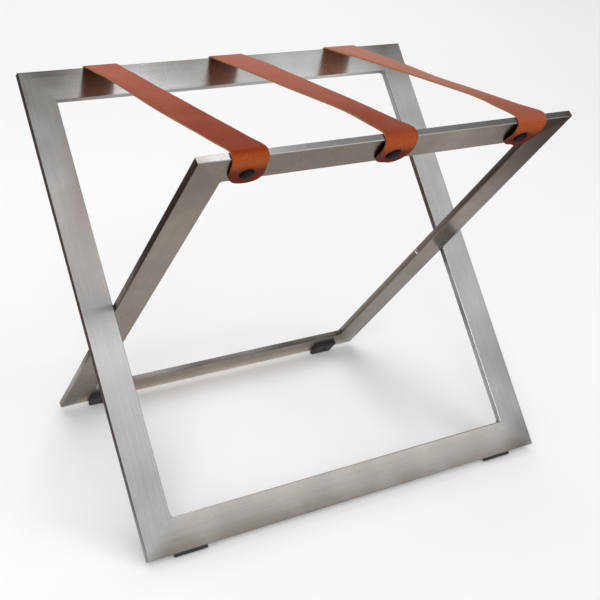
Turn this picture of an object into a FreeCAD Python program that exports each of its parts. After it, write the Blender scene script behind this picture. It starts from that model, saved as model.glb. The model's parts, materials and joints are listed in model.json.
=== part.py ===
"""Folding hotel luggage bench: two welded steel frames crossed on one pivot, three leather straps.

The outer frame leans back and the inner frame, which turns inside it, leans forward. Both are
modelled standing upright in a frame of their own: X runs across the bench, Z along the legs, +Y
out of the face that carries the strap ends and the feet, and the pivot's axis is the origin.
Lengths are millimetres, angles degrees.
"""
import FreeCAD
import Part
import math
import os
import Sketcher
from FreeCAD import Placement, Rotation, Vector

SIZES = (
    ("frame_width", 600, "outer frame, side to side"),
    ("frame_length", 625, "both frames, along the legs"),
    ("bar_width", 42, "tube's wide side"),
    ("bar_depth", 9, "tube's thin side"),
    ("bar_wall", 1.5, "tube's wall"),
    ("bar_edge_radius", 1.2, "rounding along the tube's edges"),
    ("frame_gap", 1.8, "between the legs of the two frames"),
    ("lean_angle", 39.1, "each frame from upright when open"),
    ("pivot_rise", 305, "pivot above the legs' lower ends, along the legs"),
    ("weld_radius", 2.6, "weld bead in each inner corner"),
    ("strap_inset", 110, "centre of an outer strap from the outer frame's side"),
    ("strap_rear_width", 50, "strap at the outer frame's bar"),
    ("strap_front_width", 44, "strap at the inner frame's bar"),
    ("strap_thickness", 2.5, "leather"),
    ("strap_clearance", 0.3, "leather to steel"),
    ("strap_sag", 3.0, "strap's middle below its ends"),
    ("strap_rear_reach", 39, "strap's rear end below the outer bar's upper edge"),
    ("strap_front_reach", 45.5, "strap's front end below the inner bar's upper edge"),
    ("strap_bulge", 3.5, "front bend, proud of the flat lie of the leather"),
    ("rear_button_drop", 21, "rear button below the outer bar's upper edge"),
    ("front_button_drop", 27, "front button below the inner bar's upper edge"),
    ("button_radius", 8.6, "button head"),
    ("button_height", 3.0, "button head"),
    ("button_crown", 1.9, "curved part of the head's height"),
    ("button_flat_radius", 5.4, "flat middle of the head"),
    ("button_shank_radius", 2.5, "screw below the button"),
    ("button_shank_depth", 4.5, "screw inside the bar"),
    ("button_insert_radius", 3.5, "threaded sleeve pressed into the bar's wall"),
    ("insert_length", 5.5, "threaded sleeve, from the bar's face"),
    ("insert_clearance", 0.05, "sleeve in its hole and screw in its thread"),
    ("foot_height", 28, "rubber foot, along the legs"),
    ("foot_thickness", 6.5, "rubber foot"),
    ("foot_overhang", 4.0, "foot past the lower edge of the bar"),
    ("foot_land_cut", 1.6, "height cut level for the floor"),
    ("foot_edge_bevel", 1.2, "bevel round the foot's outer face"),
    ("outer_foot_length", 44, "foot of the outer frame, across"),
    ("outer_foot_inset", 60, "centre of that foot from the frame's side"),
    ("inner_foot_length", 35, "foot of the inner frame, across"),
    ("inner_foot_inset", 61, "centre of that foot from the frame's side"),
    ("foot_screw_radius", 2.0, "screw through the foot"),
    ("foot_screw_depth", 4.5, "that screw inside the bar"),
    ("foot_screw_head_radius", 3.6, "its head"),
    ("foot_screw_head_height", 2.2, "its head"),
    ("foot_recess_radius", 4.0, "recess for the head"),
    ("foot_recess_depth", 3.5, "recess for the head"),
    ("foot_hole_radius", 2.2, "hole below the recess"),
    ("pivot_radius", 2.5, "shoulder of the pivot bolt"),
    ("pivot_head_radius", 4.0, "domed head of the pivot bolt"),
    ("pivot_head_height", 2.0, "domed head of the pivot bolt"),
    ("pivot_head_rim", 0.6, "straight rim of that head"),
    ("pivot_head_gap", 0.1, "head to the inner leg"),
    ("pivot_socket_width", 2.5, "hexagon socket, across the flats"),
    ("pivot_socket_depth", 1.1, "hexagon socket"),
    ("pivot_thread_radius", 2.0, "threaded end of the bolt"),
    ("pivot_thread_length", 12, "threaded end of the bolt"),
    ("running_clearance", 0.05, "shoulder in its bush"),
    ("bush_wall", 0.4, "sleeve in the inner leg"),
    ("spacer_radius", 4.2, "washer between the legs"),
    ("spacer_thickness", 1.6, "washer between the legs"),
    ("nut_block_length", 14, "tapped block in the outer leg, across"),
    ("nut_block_height", 16, "tapped block, along the leg"),
    ("nut_block_clearance", 0.1, "tapped block to the wide walls"),
)

PAST = 1.0  # how far a cutting outline runs past the solid that it cuts

document = FreeCAD.newDocument("luggage_bench")
sheet = document.addObject("Spreadsheet::Sheet", "sizes")
sheet.set("A1", "size")
sheet.set("B1", "value")
sheet.set("C1", "what it is")
for line, (alias, value, meaning) in enumerate(SIZES, start=2):
    sheet.set(f"A{line}", alias)
    sheet.set(f"B{line}", str(value))
    sheet.set(f"C{line}", meaning)
    sheet.setAlias(f"B{line}", alias)
document.recompute()


class Size:
    """A length with the formula behind it, so that a sketch gets both from one expression."""

    def __init__(self, number, formula):
        self.number = float(number)
        self.formula = formula

    def __add__(self, other):
        other = as_size(other)
        return Size(self.number + other.number, f"({self.formula} + {other.formula})")

    def __sub__(self, other):
        other = as_size(other)
        return Size(self.number - other.number, f"({self.formula} - {other.formula})")

    def __mul__(self, factor):
        return Size(self.number * factor, f"({self.formula} * {factor})")

    def __truediv__(self, other):
        other = as_size(other)
        return Size(self.number / other.number, f"({self.formula} / {other.formula})")

    def __neg__(self):
        return Size(-self.number, f"(0 - {self.formula})")


def as_size(value):
    """A Size from a Size or a plain number."""
    return value if isinstance(value, Size) else Size(value, str(value))


def size(alias):
    """The Size held by one cell of the sheet."""
    return Size(sheet.get(alias), f"sizes.{alias}")


def mm(alias):
    """The plain number held by one cell of the sheet."""
    return float(sheet.get(alias))


def bind(thing, name, length):
    """Give a property its number and its formula."""
    length = as_size(length)
    setattr(thing, name, length.number)
    thing.setExpression(name, length.formula)


# Lengths that several pieces share
BAR_WIDTH = size("bar_width")
BAR_DEPTH = size("bar_depth")
HALF_DEPTH = BAR_DEPTH / 2
WALL = size("bar_wall")
OUTER_WIDTH = size("frame_width")
INNER_WIDTH = OUTER_WIDTH - BAR_WIDTH * 2 - size("frame_gap") * 2
TOP = size("frame_length") - size("pivot_rise")
BOTTOM = -size("pivot_rise")
SEAT = size("strap_clearance") + size("strap_thickness")
FOOT_LOW = BOTTOM - size("foot_overhang")
FOOT_HIGH = FOOT_LOW + size("foot_height")
FOOT_FACE = HALF_DEPTH + size("foot_thickness")
FOOT_SCREW_RISE = size("foot_height") / 2 - size("foot_overhang")
INNER_LEG_FACE = INNER_WIDTH / 2 - BAR_WIDTH
OUTER_LEG_FACE = OUTER_WIDTH / 2 - BAR_WIDTH
STRAP_PITCH = OUTER_WIDTH / 2 - size("strap_inset")
OUTER_FOOT_PLACE = OUTER_WIDTH / 2 - size("outer_foot_inset")
INNER_FOOT_PLACE = INNER_WIDTH / 2 - size("inner_foot_inset")
BUTTON_HOLE = size("button_insert_radius") + size("insert_clearance")
FOOT_SCREW_HOLE = size("foot_screw_radius") + size("insert_clearance")
THREAD_HOLE = size("pivot_thread_radius") + size("insert_clearance") * 2
BUSH_BORE = size("pivot_radius") + size("running_clearance")
BUSH_RADIUS = BUSH_BORE + size("bush_wall")
BUSH_HOLE = BUSH_RADIUS + size("insert_clearance")

# The floor touches the level land cut on each foot's lower outer edge.
LEAN = math.radians(mm("lean_angle"))
PIVOT_HEIGHT = (
    FOOT_FACE.number * math.sin(LEAN) - FOOT_LOW.number * math.cos(LEAN) - mm("foot_land_cut")
)
PIVOT_PLACE = Placement(Vector(0, 0, PIVOT_HEIGHT), Rotation())
OUTER_FRAME = PIVOT_PLACE * Placement(Vector(), Rotation(Vector(1, 0, 0), -mm("lean_angle")))
HALF_TURN = Placement(Vector(), Rotation(Vector(0, 0, 1), 180))
INNER_FRAME = PIVOT_PLACE * HALF_TURN * PIVOT_PLACE.inverse() * OUTER_FRAME
ACROSS = Rotation(Vector(0, 1, 0), 90)  # a tube's own Z laid along +X, its outer edge up
ACROSS_BACK = Rotation(Vector(0, 1, 0), -90)  # along -X, its outer edge down
OUTWARD = Rotation(Vector(1, 0, 0), -90)  # a fastener's own Z pointed out of the bar's +Y face


def shift(x, y, z, rotation=Rotation()):
    """A Placement from three lengths, each a Size or a number."""
    return Placement(Vector(as_size(x).number, as_size(y).number, as_size(z).number), rotation)


# Sketching


def new_body(label, placement):
    """An empty body with its label and its place."""
    body = document.addObject("PartDesign::Body", label)
    body.Label = label
    body.Placement = placement
    return body


def new_sketch(body, role, name, height=0):
    """A sketch on one of the body's own planes, raised along the plane's normal."""
    plane = next(item for item in body.Origin.OriginFeatures if item.Role == role)
    sketch = body.newObject("Sketcher::SketchObject", f"{body.Name}_{name}")
    sketch.AttachmentSupport = (plane, [""])
    sketch.MapMode = "FlatFace"
    height = as_size(height)
    if height.number:
        sketch.AttachmentOffset = Placement(Vector(0, 0, height.number), Rotation())
        sketch.setExpression("AttachmentOffset.Base.z", height.formula)
    return sketch


def pin_point(sketch, geometry, end, x, y):
    """Hold one point of a sketch at two lengths from its origin."""
    for kind, length, axis in (("DistanceX", as_size(x), -2), ("DistanceY", as_size(y), -1)):
        if length.formula in ("0", "0.0"):
            sketch.addConstraint(Sketcher.Constraint("PointOnObject", geometry, end, axis))
            continue
        held = Sketcher.Constraint(kind, -1, 1, geometry, end, length.number)
        sketch.setExpression(f"Constraints[{sketch.addConstraint(held)}]", length.formula)


def outline(sketch, corners):
    """A closed outline of straight lines, with every corner held."""
    count = len(corners)
    points = [Vector(as_size(x).number, as_size(y).number, 0) for x, y in corners]
    lines = [
        sketch.addGeometry(Part.LineSegment(points[i], points[(i + 1) % count]), False)
        for i in range(count)
    ]
    for i, line in enumerate(lines):
        joined = Sketcher.Constraint("Coincident", line, 2, lines[(i + 1) % count], 1)
        sketch.addConstraint(joined)
        pin_point(sketch, line, 1, *corners[i])


def rectangle(sketch, x_low, x_high, y_low, y_high):
    """A closed rectangle."""
    outline(sketch, [(x_low, y_low), (x_high, y_low), (x_high, y_high), (x_low, y_high)])


def circle(sketch, radius, x=0, y=0):
    """A circle with its centre held."""
    radius = as_size(radius)
    centre = Vector(as_size(x).number, as_size(y).number, 0)
    ring = sketch.addGeometry(Part.Circle(centre, Vector(0, 0, 1), radius.number), False)
    held = sketch.addConstraint(Sketcher.Constraint("Radius", ring, radius.number))
    sketch.setExpression(f"Constraints[{held}]", radius.formula)
    pin_point(sketch, ring, 3, x, y)


def pad(body, sketch, length, both_ways=False, reverse=False):
    """Material from a sketch along its normal."""
    feature = body.newObject("PartDesign::Pad", f"{sketch.Name}_pad")
    feature.Profile = sketch
    bind(feature, "Length", length)
    feature.Midplane = both_ways
    feature.Reversed = reverse
    sketch.Visibility = False
    document.recompute()
    return feature


def pocket(body, sketch, length, both_ways=False, along_normal=False):
    """A cut from a sketch, against its normal unless along_normal."""
    before = body.Shape.Volume
    feature = body.newObject("PartDesign::Pocket", f"{sketch.Name}_cut")
    feature.Profile = sketch
    bind(feature, "Length", length)
    feature.Midplane = both_ways
    feature.Reversed = along_normal
    sketch.Visibility = False
    document.recompute()
    if feature.Shape.isNull() or feature.Shape.Volume > before - 1e-3:
        raise RuntimeError(f"{feature.Name} cuts nothing")
    return feature


def revolve(body, sketch, axis="V_Axis"):
    """A full turn of a sketch about one of its own axes."""
    feature = body.newObject("PartDesign::Revolution", f"{sketch.Name}_turn")
    feature.Profile = sketch
    feature.ReferenceAxis = (sketch, [axis])
    feature.Angle = 360
    sketch.Visibility = False
    document.recompute()
    return feature


def round_edges(body, base, chosen, radius):
    """Round the edges of a feature that the test picks."""
    names = [f"Edge{i}" for i, edge in enumerate(base.Shape.Edges, start=1) if chosen(edge)]
    feature = body.newObject("PartDesign::Fillet", f"{base.Name}_round")
    feature.Base = (base, names)
    bind(feature, "Radius", radius)
    document.recompute()
    return feature


def bevel_edges(body, base, chosen, width):
    """Bevel the edges of a feature that the test picks, equally on both faces."""
    names = [f"Edge{i}" for i, edge in enumerate(base.Shape.Edges, start=1) if chosen(edge)]
    feature = body.newObject("PartDesign::Chamfer", f"{base.Name}_bevel")
    feature.Base = (base, names)
    bind(feature, "Size", width)
    document.recompute()
    return feature


def row_along_x(body, feature, length, count):
    """Copies of a feature along the body's X, from its first place to the given length."""
    x_axis = next(item for item in body.Origin.OriginFeatures if item.Role == "X_Axis")
    row = body.newObject("PartDesign::LinearPattern", f"{body.Name}_row")
    row.Originals = [feature]
    row.Direction = (x_axis, [""])
    bind(row, "Length", length)
    row.Occurrences = count
    body.Tip = row
    document.recompute()
    return row


# Tubes of the two frames


def mitred_tube(label, length, placement):
    """A rectangular tube along Z, mitred at both ends, with its long edge on the -X side."""
    body = new_body(label, placement)
    half = BAR_WIDTH / 2
    section = new_sketch(body, "XY_Plane", "section")
    rectangle(section, -half, half, -HALF_DEPTH, HALF_DEPTH)
    blank = pad(body, section, length)

    def runs_along(edge):
        return abs(edge.tangentAt(edge.FirstParameter).z) > 0.99

    round_edges(body, blank, runs_along, size("bar_edge_radius"))
    hollow = new_sketch(body, "XY_Plane", "hollow")
    rectangle(hollow, WALL - half, half - WALL, WALL - HALF_DEPTH, HALF_DEPTH - WALL)
    pocket(body, hollow, length, along_normal=True)
    ends = new_sketch(body, "XZ_Plane", "mitres")
    far = half + PAST
    outline(ends, [(-far, -PAST), (far, -PAST), (far, BAR_WIDTH + PAST)])
    outline(
        ends,
        [(-far, length + PAST), (far, length - BAR_WIDTH - PAST), (far, length + PAST)],
    )
    pocket(body, ends, BAR_DEPTH * 2, both_ways=True)
    return body


def drill_face(body, name, radius, inset, places):
    """Holes in the tube's +Y wall, each so far from its long edge and so far along it."""
    holes = new_sketch(body, "XZ_Plane", name)
    for place in places:
        circle(holes, radius, inset - BAR_WIDTH / 2, place)
    pocket(body, holes, HALF_DEPTH + PAST)


def drill_leg(body, radius, both_walls):
    """The pivot's hole across a leg, in both thin walls or in the inner one alone."""
    hole = new_sketch(body, "YZ_Plane", "pivot_hole")
    circle(hole, radius, 0, size("pivot_rise"))
    if both_walls:
        pocket(body, hole, BAR_WIDTH * 2, both_ways=True)
    else:
        pocket(body, hole, BAR_WIDTH / 2 + PAST, along_normal=True)


def build_frame(name, width, frame, foot_place, button_drop, leg_hole, both_walls):
    """The four tubes of one frame, with the holes that its fasteners need."""
    half = width / 2
    centre = half - BAR_WIDTH / 2
    sides = ("left", "right") if frame is OUTER_FRAME else ("right", "left")
    turned = HALF_TURN.Rotation
    for side, place in zip(sides, (shift(-centre, 0, BOTTOM), shift(centre, 0, BOTTOM, turned))):
        leg = mitred_tube(f"{name}_{side}_leg", size("frame_length"), frame * place)
        drill_leg(leg, leg_hole, both_walls)
    top_place = shift(-half, 0, TOP - BAR_WIDTH / 2, ACROSS)
    top_bar = mitred_tube(f"{name}_top_bar", width, frame * top_place)
    strap_places = (half - STRAP_PITCH, half, half + STRAP_PITCH)
    drill_face(top_bar, "insert_holes", BUTTON_HOLE, button_drop, strap_places)
    bottom_place = shift(half, 0, BOTTOM + BAR_WIDTH / 2, ACROSS_BACK)
    bottom_bar = mitred_tube(f"{name}_bottom_bar", width, frame * bottom_place)
    foot_places = (half - foot_place, half + foot_place)
    drill_face(bottom_bar, "screw_holes", FOOT_SCREW_HOLE, FOOT_SCREW_RISE, foot_places)


def build_welds(label, width, frame):
    """A rounded bead in each inner corner of a frame, ground short of the tubes' faces."""
    body = new_body(label, frame)
    beads = new_sketch(body, "XZ_Plane", "beads")
    radius = size("weld_radius")
    reach = width / 2 - BAR_WIDTH
    for side in (-1, 1):
        for rise, level in ((-1, TOP - BAR_WIDTH), (1, BOTTOM + BAR_WIDTH)):
            bead_outline(beads, reach * side, level, -side, rise, radius)
    pad(body, beads, BAR_DEPTH - size("bar_edge_radius") * 2, both_ways=True)


def bead_outline(sketch, x, y, x_sense, y_sense, radius):
    """A quarter disc with its right angle at (x, y), opening towards the given senses."""
    corner = Vector(x.number, y.number, 0)
    along = corner + Vector(x_sense * radius.number, 0, 0)
    up = corner + Vector(0, y_sense * radius.number, 0)
    start = 0 if x_sense > 0 else math.pi
    end = math.pi / 2 * y_sense
    low, high = (start, end) if x_sense * y_sense > 0 else (end, start)
    if low > high:
        high += 2 * math.pi
    first = sketch.addGeometry(Part.LineSegment(corner, along), False)
    second = sketch.addGeometry(Part.LineSegment(up, corner), False)
    ring = Part.Circle(corner, Vector(0, 0, 1), radius.number)
    arc = sketch.addGeometry(Part.ArcOfCircle(ring, low, high), False)
    at_first, at_second = (1, 2) if x_sense * y_sense > 0 else (2, 1)
    sketch.addConstraint(Sketcher.Constraint("Coincident", second, 2, first, 1))
    sketch.addConstraint(Sketcher.Constraint("Coincident", arc, at_first, first, 2))
    sketch.addConstraint(Sketcher.Constraint("Coincident", arc, at_second, second, 1))
    sketch.addConstraint(Sketcher.Constraint("Coincident", arc, 3, first, 1))
    sketch.addConstraint(Sketcher.Constraint("Horizontal", first))
    sketch.addConstraint(Sketcher.Constraint("Vertical", second))
    held = sketch.addConstraint(Sketcher.Constraint("Radius", arc, radius.number))
    sketch.setExpression(f"Constraints[{held}]", radius.formula)
    pin_point(sketch, first, 1, x, y)


# Fasteners


def build_inserts(label, first_place):
    """Threaded sleeves in a row, flush with the bar's face."""
    body = new_body(label, first_place)
    profile = new_sketch(body, "XZ_Plane", "profile")
    bore = size("button_shank_radius") + size("insert_clearance")
    sleeve = size("button_insert_radius")
    end = -size("insert_length")
    outline(profile, [(bore, 0), (sleeve, 0), (sleeve, end), (bore, end)])
    row_along_x(body, revolve(body, profile), STRAP_PITCH * 2, 3)


def build_buttons(label, first_place):
    """Screws with a wide, flatly crowned head that clamps the leather to the bar."""
    body = new_body(label, first_place)
    profile = new_sketch(body, "XZ_Plane", "profile")
    top = SEAT + size("button_height")
    shoulder = top - size("button_crown")
    radius = size("button_radius")
    flat = size("button_flat_radius")
    shank = size("button_shank_radius")
    depth = -size("button_shank_depth")
    outline(
        profile,
        [
            (0, depth),
            (shank, depth),
            (shank, SEAT),
            (radius, SEAT),
            (radius, shoulder),
            (flat, top),
            (0, top),
        ],
    )
    row_along_x(body, revolve(body, profile), STRAP_PITCH * 2, 3)


def build_foot_screws(label, first_place, spacing):
    """Cylinder-head screws that hold the feet, sunk in the rubber."""
    body = new_body(label, first_place)
    profile = new_sketch(body, "XZ_Plane", "profile")
    under = size("foot_thickness") - size("foot_recess_depth")
    shank = size("foot_screw_radius")
    head = size("foot_screw_head_radius")
    depth = -size("foot_screw_depth")
    height = size("foot_screw_head_height")
    outline(
        profile,
        [
            (0, depth),
            (shank, depth),
            (shank, under),
            (head, under),
            (head, under + height),
            (0, under + height),
        ],
    )
    row_along_x(body, revolve(body, profile), spacing, 2)


# Feet


def build_foot(label, frame, place, length):
    """A rubber block on the bar's outer face, cut level where it meets the floor."""
    body = new_body(label, frame * shift(place, 0, 0))
    level = Size(math.sin(LEAN), "sin(sizes.lean_angle * 1 deg)")
    upright = Size(math.cos(LEAN), "cos(sizes.lean_angle * 1 deg)")
    cut = size("foot_land_cut")
    side = new_sketch(body, "YZ_Plane", "side")
    outline(
        side,
        [
            (HALF_DEPTH, FOOT_LOW),
            (FOOT_FACE - cut / level, FOOT_LOW),
            (FOOT_FACE, FOOT_LOW + cut / upright),
            (FOOT_FACE, FOOT_HIGH),
            (HALF_DEPTH, FOOT_HIGH),
        ],
    )
    block = pad(body, side, length, both_ways=True)
    land = FOOT_LOW.number + (cut / upright).number

    def on_outer_face(edge):
        ends = [vertex.Point for vertex in edge.Vertexes]
        faced = all(abs(point.y - FOOT_FACE.number) < 1e-3 for point in ends)
        return faced and any(point.z > land + 1e-3 for point in ends)

    bevel_edges(body, block, on_outer_face, size("foot_edge_bevel"))
    rise = BOTTOM + FOOT_SCREW_RISE
    hole = new_sketch(body, "XZ_Plane", "screw_hole")
    circle(hole, size("foot_hole_radius"), 0, rise)
    pocket(body, hole, FOOT_FACE + PAST)
    floor = HALF_DEPTH + size("foot_thickness") - size("foot_recess_depth")
    recess = new_sketch(body, "XZ_Plane", "recess", -floor)
    circle(recess, size("foot_recess_radius"), 0, rise)
    pocket(body, recess, size("foot_recess_depth") + PAST)


# Pivot


def build_pivot(name, half_turn):
    """One side's shoulder bolt, spacer, bush and tapped block, all along X."""
    outer_side = OUTER_FRAME * half_turn
    inner_side = INNER_FRAME * HALF_TURN * half_turn
    build_bolt(f"{name}_pivot_bolt", outer_side)
    spacer_start = OUTER_LEG_FACE - size("spacer_thickness")
    build_ring(
        f"{name}_pivot_spacer",
        outer_side,
        (size("spacer_radius"), BUSH_BORE),
        spacer_start,
        size("spacer_thickness"),
    )
    build_ring(
        f"{name}_pivot_bush", inner_side, (BUSH_RADIUS, BUSH_BORE), INNER_LEG_FACE, BAR_WIDTH
    )
    body = new_body(f"{name}_pivot_nut_block", outer_side)
    section = new_sketch(body, "YZ_Plane", "section", OUTER_LEG_FACE + WALL)
    half_height = size("nut_block_height") / 2
    half_inside = HALF_DEPTH - WALL - size("nut_block_clearance")
    rectangle(section, -half_inside, half_inside, -half_height, half_height)
    circle(section, THREAD_HOLE)
    pad(body, section, size("nut_block_length"))


def build_ring(label, placement, radii, start, length):
    """A plain ring along X, from its outer and inner radius."""
    body = new_body(label, placement)
    section = new_sketch(body, "YZ_Plane", "section", start)
    for radius in radii:
        circle(section, radius)
    pad(body, section, length)


def build_bolt(label, placement):
    """The shoulder bolt: domed head inside, shoulder through the leg, thread in the outer leg."""
    body = new_body(label, placement)
    profile = new_sketch(body, "XY_Plane", "profile")
    under = INNER_LEG_FACE - size("pivot_head_gap")
    rim = under - size("pivot_head_rim")
    crown = under - size("pivot_head_height")
    head = size("pivot_head_radius")
    shoulder = size("pivot_radius")
    thread = size("pivot_thread_radius")
    end = OUTER_LEG_FACE + size("pivot_thread_length")
    outline(
        profile,
        [
            (crown, 0),
            (end, 0),
            (end, thread),
            (OUTER_LEG_FACE, thread),
            (OUTER_LEG_FACE, shoulder),
            (under, shoulder),
            (under, head),
            (rim, head),
            (crown, head / 2),
        ],
    )
    revolve(body, profile, "H_Axis")
    socket = new_sketch(body, "YZ_Plane", "socket", crown)
    corner = size("pivot_socket_width") / (2 * math.cos(math.pi / 6))
    outline(
        socket,
        [
            (corner * math.cos(turn), corner * math.sin(turn))
            for turn in (math.pi / 6 + math.pi / 3 * step for step in range(6))
        ],
    )
    pocket(body, socket, size("pivot_socket_depth"), along_normal=True)


# Straps


def rounded_path(points, radii):
    """Straight runs joined by tangent arcs, as (start, end, centre or None, turn) pieces."""
    pieces = []
    start = points[0]
    for before, corner, after, radius in zip(points, points[1:], points[2:], radii):
        into = (corner - before).normalize()
        out = (after - corner).normalize()
        turn = math.atan2(into.x * out.y - into.y * out.x, into.dot(out))
        reach = radius * math.tan(abs(turn) / 2)
        first = corner - into * reach
        second = corner + out * reach
        side = Vector(-into.y, into.x, 0) * math.copysign(radius, turn)
        pieces.append((start, first, None, 0))
        pieces.append((first, second, first + side, turn))
        start = second
    pieces.append((start, points[-1], None, 0))
    return pieces


def offset_edges(pieces, distance):
    """The edges of a rounded path moved sideways, to the left of its travel if positive."""
    edges = []
    for start, end, centre, turn in pieces:
        if centre is None:
            along = (end - start).normalize()
            side = Vector(-along.y, along.x, 0) * distance
            edges.append(Part.LineSegment(start + side, end + side).toShape())
            continue
        radius = (start - centre).Length
        scale = 1 - distance * math.copysign(1, turn) / radius
        middle = ((start + end) / 2 - centre).normalize() * radius
        near, halfway, far = (centre + arm * scale for arm in (start - centre, middle, end - centre))
        edges.append(Part.Arc(near, halfway, far).toShape())
    return edges


def strap_path():
    """The leather's middle line in the YZ plane, as (y, z, 0) from rear end to front end."""
    lie = mm("strap_clearance") + mm("strap_thickness") / 2
    top = TOP.number
    face = HALF_DEPTH.number
    sine, cosine = math.sin(LEAN), math.cos(LEAN)

    def rear(outward, along):
        return Vector(outward * cosine + along * sine, along * cosine - outward * sine, 0)

    def front(outward, along):
        point = rear(outward, along)
        return Vector(-point.x, point.y, 0)

    def crest(side):
        """Where the leather leaves the inner edge of a bar's top for the level span."""
        inner_edge = side(-face, top)
        half_turn = LEAN / 2
        push = lie / math.cos(half_turn)
        sense = math.copysign(1, inner_edge.x)
        return inner_edge + Vector(sense * math.sin(half_turn), math.cos(half_turn), 0) * push

    wrap = mm("bar_edge_radius") + lie
    bulge = mm("strap_bulge")
    bend_top = front(face + lie + bulge * 0.55, top + lie)
    bend_out = front(face + lie + bulge * 1.3, top - bulge * 1.8)
    bend_in = front(face + lie, top - bulge * 4.6)
    rear_crest, front_crest = crest(rear), crest(front)
    middle = (rear_crest + front_crest) / 2 - Vector(0, mm("strap_sag"), 0)
    points = [
        rear(face + lie, top - mm("strap_rear_reach")),
        rear(face + lie, top + lie),
        rear_crest,
        middle,
        front_crest,
        bend_top,
        bend_out,
        bend_in,
        front(face + lie, top - mm("strap_front_reach")),
    ]
    span = (rear_crest - front_crest).Length
    slope = 2 * mm("strap_sag") / span
    radii = [wrap, wrap, span / 4 / slope, wrap, bulge * 1.4, bulge * 2.3, bulge * 3.4]
    return rounded_path(points, radii)


def end_trim(frame, width, reach):
    """The leather to take off around a rounded strap end, past the centre of its arc."""
    radius = width / 2
    centre_drop = reach - radius
    depth = (SEAT + size("strap_thickness")).number
    corner = Vector(-width, 0, -width - radius)
    block = Part.makeBox(2 * width, depth, width + radius, corner)
    disc = Part.makeCylinder(radius, depth, Vector(), Vector(0, 1, 0))
    trim = block.cut(disc)
    place = shift(0, HALF_DEPTH, TOP - centre_drop)
    trim.Placement = PIVOT_PLACE.inverse() * frame * place
    return trim


def strap_solid():
    """One strap about the pivot: a folded ribbon, tapered to the front, with rounded ends."""
    pieces = strap_path()
    half = mm("strap_thickness") / 2
    sides = [offset_edges(pieces, half), offset_edges(pieces, -half)]
    ends = []
    for index in (0, -1):
        first, second = (edges[index].Vertexes[index].Point for edges in sides)
        ends.append(Part.LineSegment(first, second).toShape())
    loop = Part.Wire(Part.__sortEdges__(sides[0] + sides[1] + ends))
    wide = mm("strap_rear_width")
    narrow = mm("strap_front_width")
    solid = Part.Face(loop).extrude(Vector(0, 0, wide))
    # The path was drawn as (y, z, 0): turn it so that its normal lies along X.
    solid.Placement = Placement(Vector(-wide / 2, 0, 0), Rotation(Vector(1, 1, 1), 120))
    far = mm("frame_length")
    bars = TOP.number * math.sin(LEAN)
    plan = Part.makePolygon(
        [
            Vector(wide / 2, far, -far),
            Vector(wide / 2, bars, -far),
            Vector(narrow / 2, -bars, -far),
            Vector(narrow / 2, -far, -far),
            Vector(-narrow / 2, -far, -far),
            Vector(-narrow / 2, -bars, -far),
            Vector(-wide / 2, bars, -far),
            Vector(-wide / 2, far, -far),
            Vector(wide / 2, far, -far),
        ]
    )
    solid = solid.common(Part.Face(plan).extrude(Vector(0, 0, 2 * far)))
    hole = mm("button_shank_radius") + mm("strap_clearance")
    rear_end = (OUTER_FRAME, wide, mm("strap_rear_reach"), size("rear_button_drop"))
    front_end = (INNER_FRAME, narrow, mm("strap_front_reach"), size("front_button_drop"))
    for frame, width, reach, button_drop in (rear_end, front_end):
        solid = solid.cut(end_trim(frame, width, reach))
        drill = Part.makeCylinder(hole, 2 * SEAT.number, Vector(), Vector(0, 1, 0))
        place = shift(0, HALF_DEPTH, TOP - button_drop)
        drill.Placement = PIVOT_PLACE.inverse() * frame * place
        solid = solid.cut(drill)
    return solid.Solids[0] if len(solid.Solids) == 1 else solid


def build_straps():
    """Three equal straps, side by side."""
    leather = strap_solid()
    for name, place in (("left", -STRAP_PITCH), ("middle", 0), ("right", STRAP_PITCH)):
        strap = document.addObject("Part::Feature", f"{name}_strap")
        strap.Label = f"{name}_strap"
        strap.Shape = leather
        strap.Placement = PIVOT_PLACE * shift(place, 0, 0)
    length = sum(
        (end - start).Length if centre is None else abs(turn) * (start - centre).Length
        for start, end, centre, turn in strap_path()
    )
    print(f"strap cut length {length:.1f} mm")


def build_fittings(name, strap_end, width, frame, foot_place, button_drop, foot_length):
    """What one frame carries: inserts and buttons for the straps, feet, their screws, welds."""
    first_button = frame * shift(-STRAP_PITCH, HALF_DEPTH, TOP - button_drop, OUTWARD)
    build_inserts(f"{strap_end}_strap_inserts", first_button)
    build_buttons(f"{strap_end}_strap_buttons", first_button)
    first_screw = frame * shift(-foot_place, HALF_DEPTH, BOTTOM + FOOT_SCREW_RISE, OUTWARD)
    build_foot_screws(f"{name}_foot_screws", first_screw, foot_place * 2)
    # The inner frame is the outer one turned about, so its own +X points to the bench's left.
    sense = 1 if frame is OUTER_FRAME else -1
    build_foot(f"{name}_left_foot", frame, foot_place * -sense, foot_length)
    build_foot(f"{name}_right_foot", frame, foot_place * sense, foot_length)
    build_welds(f"{name}_frame_welds", width, frame)


def build_bench():
    """Every piece of the bench."""
    outer = (OUTER_WIDTH, OUTER_FRAME, OUTER_FOOT_PLACE, size("rear_button_drop"))
    inner = (INNER_WIDTH, INNER_FRAME, INNER_FOOT_PLACE, size("front_button_drop"))
    build_frame("outer", *outer, THREAD_HOLE, False)
    build_frame("inner", *inner, BUSH_HOLE, True)
    build_fittings("outer", "rear", *outer, size("outer_foot_length"))
    build_fittings("inner", "front", *inner, size("inner_foot_length"))
    build_pivot("right", Placement())
    build_pivot("left", HALF_TURN)
    build_straps()


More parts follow.
